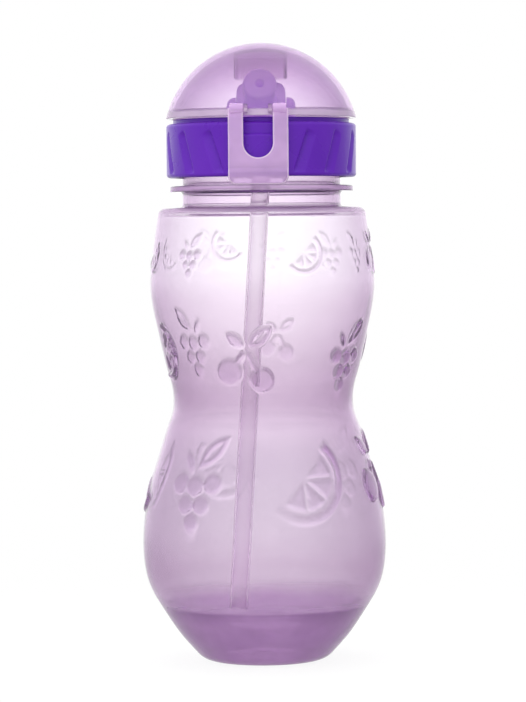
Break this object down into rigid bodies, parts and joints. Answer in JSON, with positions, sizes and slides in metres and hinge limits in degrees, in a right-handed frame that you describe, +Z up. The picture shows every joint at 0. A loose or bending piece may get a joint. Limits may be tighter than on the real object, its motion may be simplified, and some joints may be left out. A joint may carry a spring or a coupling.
{
  "type": "kids water bottle",
  "caption": "Waisted see-through water bottle for children, with a screw collar, a flip-up dome lid, a tilting drinking spout with a straw, and a front latch clip.",
  "frame": {"origin": "middle of the foot ring, on the surface that the bottle stands on", "axes": "+Z up along the bottle's axis, -Y towards the latch clip at the front, +Y towards the dome's hinge, +X to the right seen from the front"},
  "size_m": [0.0728, 0.0728, 0.185],
  "materials": {
    "bottle_plastic": "gloss",
    "collar_plastic": "satin gloss",
    "lid_plastic": "gloss",
    "straw_plastic": "satin",
    "spout_plastic": "satin",
    "silicone": "matte",
    "pin_steel": "brushed"
  },
  "bodies": {
    "bottle": {"bottle_body": "bottle_plastic"},
    "seal": {"cap_gasket": "silicone"},
    "lid": {"cap_collar": "collar_plastic", "spout_base": "spout_plastic", "spout_base_seal": "silicone", "spout_seat_seal": "silicone", "air_vent_valve": "silicone", "drinking_straw": "straw_plastic", "dome_hinge_pin": "pin_steel"},
    "spout": {"spout_rotor": "spout_plastic", "spout_nozzle": "spout_plastic"},
    "dome": {"dome_cover": "lid_plastic", "latch_pins": "lid_plastic"},
    "latch": {"latch_clip": "lid_plastic"}
  },
  "joints": [
    {"name": "lid_rise", "type": "slide", "parent": "bottle", "child": "seal", "axis": [0, 0, 1], "range_m": [0, 0.006]},
    {"name": "lid_screw", "type": "hinge", "parent": "seal", "child": "lid", "pos_m": [0, 0, 0.1584], "axis": [0, 0, 1], "range_deg": [0, 540]},
    {"name": "dome_flip", "type": "hinge", "parent": "lid", "child": "dome", "pos_m": [0, 0.0313, 0.1615], "axis": [-1, 0, 0], "range_deg": [0, 115]},
    {"name": "spout_tilt", "type": "hinge", "parent": "lid", "child": "spout", "pos_m": [0, 0.003, 0.1655], "axis": [-1, 0, 0], "range_deg": [0, 65]},
    {"name": "latch_swing", "type": "hinge", "parent": "dome", "child": "latch", "pos_m": [0, -0.0295, 0.1644], "axis": [-1, 0, 0], "range_deg": [0, 80]}
  ],
  "couplings": [
    {"joint": "lid_rise", "follows": "lid_screw", "m_per_rad": 0.0006366},
    {"joint": "spout_tilt", "follows": "dome_flip", "ratio": 0.5652}
  ]
}
